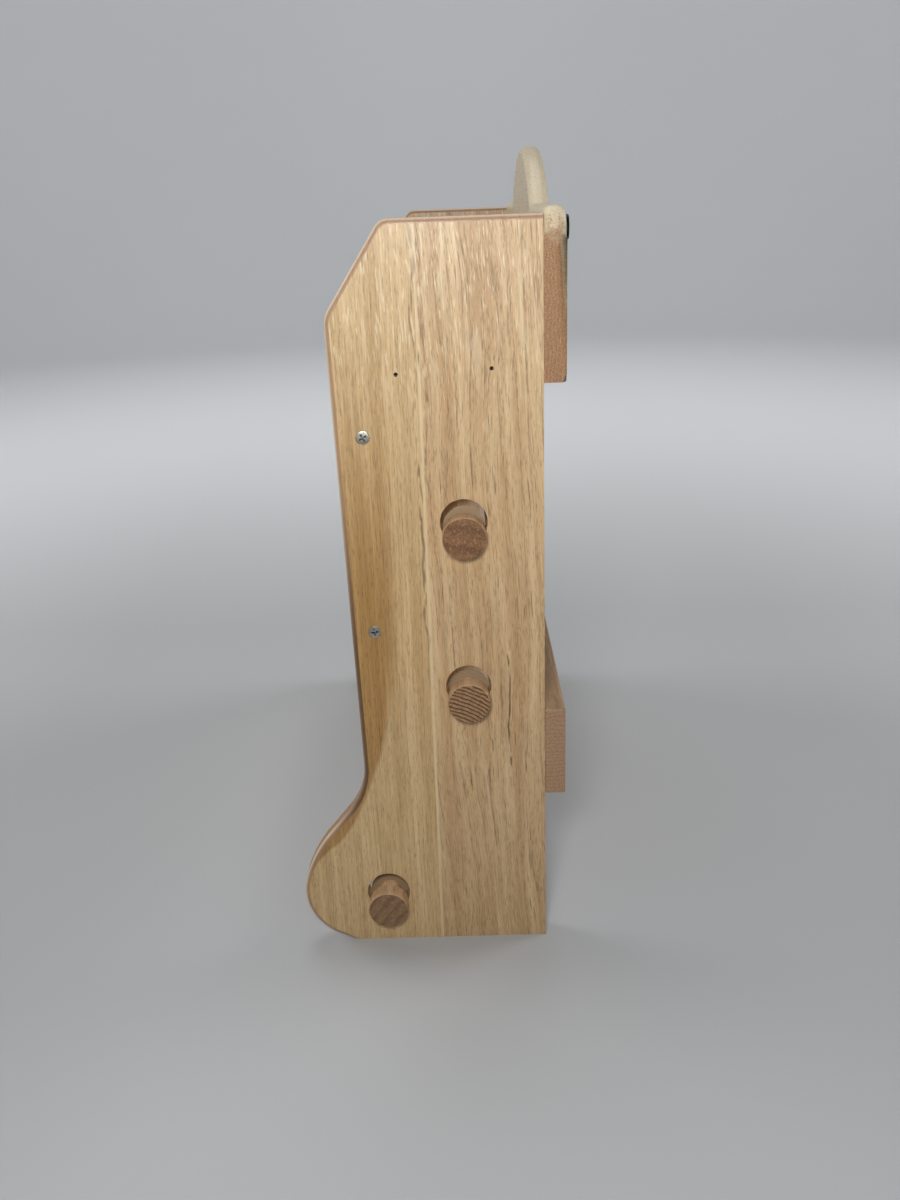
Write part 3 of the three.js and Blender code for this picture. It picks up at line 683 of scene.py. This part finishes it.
def steel_material(name, colour, roughness, line_mm, stretch, depth_mm, stain):
    """Bright or blacked steel: fine marks stretched along the rack, and cloudy dull patches."""
    material, tree, shader = new_material(name, Metallic=1.0)
    coords = add_node(tree, "TexCoord").outputs["Object"]
    fine = 1 / (line_mm * MM)
    marks_at = add_node(tree, "Mapping", {0: coords, 3: (fine / stretch, fine, fine)})
    marks = add_node(tree, "TexNoise", {0: marks_at.outputs[0], 2: 1.0, 3: 3.0}).outputs[0]
    clouds = add_node(tree, "TexNoise", {0: coords, 2: 1 / (4 * MM), 3: 3.0}).outputs[0]
    tone = mixed(tree, smooth(tree, clouds, 0.35, 0.7), linear(colour), linear(stain))
    tone = shaded(tree, tone, smooth(tree, marks, 0.3, 0.7, 0.9, 1.08))
    tree.links.new(tone, shader.inputs["Base Color"])
    dull = smooth(tree, clouds, 0.3, 0.7, roughness, roughness + 0.16)
    tree.links.new(dull, shader.inputs["Roughness"])
    bump = add_node(tree, "Bump", {"Strength": 0.5, "Distance": depth_mm * MM, "Height": marks})
    tree.links.new(bump.outputs[0], shader.inputs["Normal"])
    return material


rolled_steel = steel_material("cold-rolled cutter steel", "#c3c5c6", 0.24, 0.4, 60.0, 0.003, "#a9aaa8")
zinc_steel = steel_material("zinc-plated steel", "#c3c1b9", 0.28, 0.25, 1.0, 0.06, "#9d9a90")
TACK_RISE_MM, TACK_SHANK_MM, TACK_POINT_MM = 0.6, 0.6, 1.2

for place in ("upper", "lower"):
    strip = frame["nodes"][f"cutter_{place}"]
    for holder in strip.material_slots:
        holder.material = rolled_steel
    for number in (1, 2, 3):
        node = f"cutter_tack_{place}_{number}"
        low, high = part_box(node)
        middle = (low + high) / 2
        radius = (high.z - low.z) / 2
        seat = high.y - TACK_RISE_MM * MM
        shank = TACK_SHANK_MM * MM
        tack = bmesh.new()
        outline = [(high.y, 0), (high.y - 0.04 * MM, radius * 0.4), (high.y - 0.2 * MM, radius * 0.78),
                   (seat + 0.15 * MM, radius), (seat, radius * 0.97), (seat, shank),
                   (low.y + TACK_POINT_MM * MM, shank), (low.y, 0)]
        points = [tack.verts.new((middle.x, along, middle.z + out)) for along, out in outline]
        lines = [tack.edges.new(pair) for pair in zip(points, points[1:])]
        bmesh.ops.spin(tack, geom=points + lines, cent=middle, axis=(0, 1, 0), angle=2 * math.pi, steps=24,
                       use_merge=True)
        bmesh.ops.remove_doubles(tack, verts=tack.verts, dist=0.001 * MM)
        bmesh.ops.recalc_face_normals(tack, faces=tack.faces)
        place_piece(f"{place}_cutter_tack_{number}", tack, zinc_steel, node)


# ---------------------------------------------------------------- screws
# Countersunk cross-head wood screws of zinc-plated steel: a flat rimmed head with a tapering cross
# recess, a cone under it, a shank and a point. The small ones in the hanger plates are blacked.

black_steel = steel_material("blacked steel", "#2b2a29", 0.42, 0.4, 1.0, 0.03, "#1b1a19")


def aimed(outward, place):
    """The transform that turns +Z to outward and moves the origin to place."""
    return Matrix.Translation(place) @ Vector(outward).to_track_quat("Z", "Y").to_matrix().to_4x4()


def head_of(node, outward):
    """A fastener's outer end, its head's radius and its length, from its box."""
    low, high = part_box(node)
    axis = max(range(3), key=lambda k: abs(outward[k]))
    place = (low + high) / 2
    place[axis] = high[axis] if outward[axis] > 0 else low[axis]
    other = (axis + 1) % 3
    return place, (high[other] - low[other]) / 2, high[axis] - low[axis]


def ring_below(shape, edges, drop, scale):
    """Draws a ring of edges down by drop and scales it; gives back the new ring."""
    made = bmesh.ops.extrude_edge_only(shape, edges=edges)["geom"]
    verts = [part for part in made if isinstance(part, bmesh.types.BMVert)]
    bmesh.ops.translate(shape, verts=verts, vec=(0, 0, -drop))
    bmesh.ops.scale(shape, verts=verts, vec=(scale, scale, 1))
    corners = set(verts)
    edges = [part for part in made if isinstance(part, bmesh.types.BMEdge)]
    return [edge for edge in edges if corners.issuperset(edge.verts)]


# A screw's shape, in head radii.
HEAD_FLAT, HEAD_CROWN, RIM_DROP = 0.93, 0.03, 0.02
CONE_DEPTH, SHANK_RADIUS, POINT_LENGTH = 0.45, 0.5, 1.0
CROSS_ARM, CROSS_HALF_WIDTH = 0.62, 0.13
CROSS_STEPS = ((0.16, 0.92), (0.34, 0.45))      # how far down each step of the recess goes, and its scale


def cross_screw(node, outward, turn, material):
    """A countersunk screw with a cross recess, in place of a CAD screw."""
    place, head, length = head_of(node, outward)
    screw = bmesh.new()
    bmesh.ops.create_circle(screw, cap_ends=False, segments=32, radius=head * HEAD_FLAT)
    bmesh.ops.translate(screw, verts=screw.verts, vec=(0, 0, -HEAD_CROWN * head))
    rim = screw.edges[:]
    arm, half = head * CROSS_ARM, head * CROSS_HALF_WIDTH
    corners = []
    for quarter in range(4):
        spin = Matrix.Rotation(turn + quarter * math.pi / 2, 3, "Z")
        spots = ((arm, -half, 0), (arm, half, 0), (half, half, 0))
        corners += [screw.verts.new(spin @ Vector(spot)) for spot in spots]
    cross = [screw.edges.new(pair) for pair in zip(corners, corners[1:] + corners[:1])]
    bmesh.ops.triangle_fill(screw, use_beauty=True, edges=rim + cross, normal=(0, 0, 1))
    recess = cross
    for drop, scale in CROSS_STEPS:
        recess = ring_below(screw, recess, drop * head, scale)
    bmesh.ops.edgeloop_fill(screw, edges=recess)

    outer = rim
    shank = length - (HEAD_CROWN + RIM_DROP + CONE_DEPTH + POINT_LENGTH) * head
    for drop, scale in ((RIM_DROP * head, 1 / HEAD_FLAT), (CONE_DEPTH * head, SHANK_RADIUS), (shank, 1.0),
                        (POINT_LENGTH * head, 0.0)):
        outer = ring_below(screw, outer, drop, scale)
    bmesh.ops.remove_doubles(screw, verts=screw.verts, dist=0.001 * MM)
    bmesh.ops.recalc_face_normals(screw, faces=screw.faces)
    bmesh.ops.transform(screw, matrix=aimed(outward, place), verts=screw.verts)
    place_piece(f"cross_{node}", screw, material, node)


OUTWARD = {"right": (1, 0, 0), "left": (-1, 0, 0)}
BACKWARD, FORWARD = (0, 1, 0), (0, -1, 0)
for place, turn in (("upper", 0.5), ("lower", 0.15)):
    for side, outward in OUTWARD.items():
        cross_screw(f"pivot_screw_{place}_{side}", outward, turn, zinc_steel)
for board, turn in (("back_board", 0.35), ("rail", 0.8)):
    for side in OUTWARD:
        for number in (1, 2):
            cross_screw(f"{board}_screw_{side}_{number}", BACKWARD, turn * number, zinc_steel)
for side in OUTWARD:
    for number in (1, 2):
        cross_screw(f"hanger_screw_{side}_{number}", BACKWARD, 0.6 * number, black_steel)


# ---------------------------------------------------------------- brads
# Thin steel brads punched below the surface, so that each shows as a small dark hole. The brad steel is
# dull, and its near-black brown is painted shade of that hole.

# Dull steel darkened to near-black brown: painted shade of the hole each brad sits in.
hole_shade_brad_steel = steel_material("dull brad steel darkened as painted hole shade", "#3a332d", 0.55, 0.3, 1.0, 0.03, "#241d18")
# A brad's shape, in head radii.
BRAD_HEAD, BRAD_CONE, BRAD_SHANK_RADIUS, BRAD_POINT = 0.4, 0.3, 0.8, 2.0


def brad(node, outward):
    """A brad with a small head and a pointed end, in place of a CAD brad."""
    place, head, length = head_of(node, outward)
    shape = bmesh.new()
    bmesh.ops.create_circle(shape, cap_ends=True, segments=16, radius=head)
    outer = [edge for edge in shape.edges if edge.is_boundary]
    shank = length - (BRAD_HEAD + BRAD_CONE + BRAD_POINT) * head
    for drop, scale in ((BRAD_HEAD * head, 1.0), (BRAD_CONE * head, BRAD_SHANK_RADIUS), (shank, 1.0),
                        (BRAD_POINT * head, 0.0)):
        outer = ring_below(shape, outer, drop, scale)
    bmesh.ops.remove_doubles(shape, verts=shape.verts, dist=0.001 * MM)
    bmesh.ops.recalc_face_normals(shape, faces=shape.faces)
    bmesh.ops.transform(shape, matrix=aimed(outward, place), verts=shape.verts)
    place_piece(f"punched_{node}", shape, hole_shade_brad_steel, node)


for side, outward in OUTWARD.items():
    for number in (1, 2):
        brad(f"shelf_brad_{side}_{number}", outward)
for number in (1, 2, 3):
    brad(f"lip_brad_{number}", FORWARD)


# ---------------------------------------------------------------- hanger plates
# Two blacked steel keyhole plates screwed to the back of the arched board, with softened edges from the
# press tool.

PLATE_EDGE_MM = 0.15
for side in OUTWARD:
    plate = welded(f"hanger_plate_{side}")
    round_over(plate, lambda edge: True, PLATE_EDGE_MM, 2)
    place_piece(f"keyhole_plate_{side}", plate, black_steel, f"hanger_plate_{side}")
